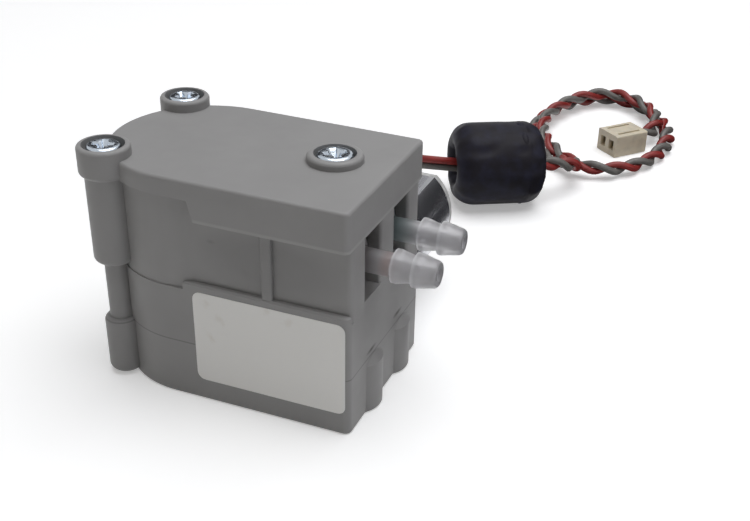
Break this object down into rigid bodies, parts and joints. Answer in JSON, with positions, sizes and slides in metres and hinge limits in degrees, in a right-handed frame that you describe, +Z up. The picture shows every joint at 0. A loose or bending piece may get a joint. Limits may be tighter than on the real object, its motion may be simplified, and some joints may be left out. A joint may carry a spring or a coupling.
{
  "type": "peristaltic pump",
  "caption": "Small roller tube pump with D-shaped moulded head, paired hose barbs, worm gearing, flat-sided motor and twisted leads with a ferrite and plug.",
  "frame": {"origin": "on the rotor axis, in the plane of the flat base", "axes": "+Z up the rotor axis from the base to the cover, +X out of the hose barbs, -Y the label side, +Y the motor"},
  "size_m": [0.077, 0.1737, 0.0422],
  "materials": {
    "housing_abs": "satin moulded ABS, light warm grey",
    "label_film": "satin white label film",
    "screw_steel": "bright zinc-plated steel",
    "barb_pp": "frosted natural polypropylene",
    "collar_red": "red-brown sleeve",
    "collar_teal": "teal sleeve",
    "silicone": "milky silicone tube",
    "acetal": "natural acetal",
    "shaft_steel": "ground steel",
    "worm_brass": "machined brass",
    "bronze": "sintered bronze",
    "can_nickel": "bright nickel-plated drawn steel",
    "cap_nylon": "pale grey nylon",
    "tin": "tinned brass",
    "ferrite_black": "dark ferrite",
    "magnet": "bonded ferrite magnet",
    "laminations": "stacked electrical steel",
    "shrink_black": "black shrink sleeve",
    "wire_pvc": "red and grey PVC insulation",
    "connector_nylon": "natural white nylon"
  },
  "bodies": {
    "body": {"base_case": "housing_abs", "gear_case": "housing_abs", "head_housing": "housing_abs", "top_cover": "housing_abs", "label": "label_film", "cover_screws": "screw_steel", "inlet_barb": "barb_pp", "outlet_barb": "barb_pp", "inlet_collar": "collar_red", "outlet_collar": "collar_teal", "pump_tube": "silicone", "idler_axle": "shaft_steel", "shaft_bush_lower": "bronze", "shaft_bush_upper": "bronze", "worm_end_bush": "bronze", "motor_can": "can_nickel", "motor_front_bush": "bronze", "motor_end_cap": "cap_nylon", "motor_terminals": "tin", "motor_magnets": "magnet", "motor_screws": "screw_steel", "ferrite_core": "ferrite_black", "ferrite_sleeve": "shrink_black", "lead_run": "wire_pvc", "lead_coil": "wire_pvc", "lead_connector": "connector_nylon", "connector_contacts": "tin"},
    "rotor": {"rotor_hub": "acetal", "rotor_plate": "acetal", "rotor_shaft": "shaft_steel", "roller_pins": "shaft_steel", "output_gear": "acetal"},
    "roller_one": {"roller_1": "acetal"},
    "roller_two": {"roller_2": "acetal"},
    "roller_three": {"roller_3": "acetal"},
    "idler": {"idler_gear": "acetal"},
    "motor_rotor": {"motor_shaft": "shaft_steel", "armature": "laminations", "commutator": "bronze", "worm": "worm_brass"}
  },
  "joints": [
    {"name": "rotor_spin", "type": "hinge", "parent": "body", "child": "rotor", "pos_m": [0, 0, 0.02], "axis": [0, 0, 1], "continuous": true},
    {"name": "idler_spin", "type": "hinge", "parent": "body", "child": "idler", "pos_m": [0.011, 0, 0.015], "axis": [0, 0, 1], "continuous": true},
    {"name": "motor_spin", "type": "hinge", "parent": "body", "child": "motor_rotor", "pos_m": [0.01983, 0, 0.015], "axis": [0, 1, 0], "continuous": true},
    {"name": "roller_1_spin", "type": "hinge", "parent": "rotor", "child": "roller_one", "pos_m": [0, 0.00805, 0.0279], "axis": [0, 0, 1], "continuous": true},
    {"name": "roller_2_spin", "type": "hinge", "parent": "rotor", "child": "roller_two", "pos_m": [-0.00697, -0.00402, 0.0279], "axis": [0, 0, 1], "continuous": true},
    {"name": "roller_3_spin", "type": "hinge", "parent": "rotor", "child": "roller_three", "pos_m": [0.00697, -0.00402, 0.0279], "axis": [0, 0, 1], "continuous": true}
  ],
  "couplings": [
    {"joint": "idler_spin", "follows": "rotor_spin", "ratio": -2.6667},
    {"joint": "motor_spin", "follows": "rotor_spin", "ratio": 58.667},
    {"joint": "roller_1_spin", "follows": "rotor_spin", "ratio": -4.0962},
    {"joint": "roller_2_spin", "follows": "rotor_spin", "ratio": -4.0962},
    {"joint": "roller_3_spin", "follows": "rotor_spin", "ratio": -4.0962}
  ]
}
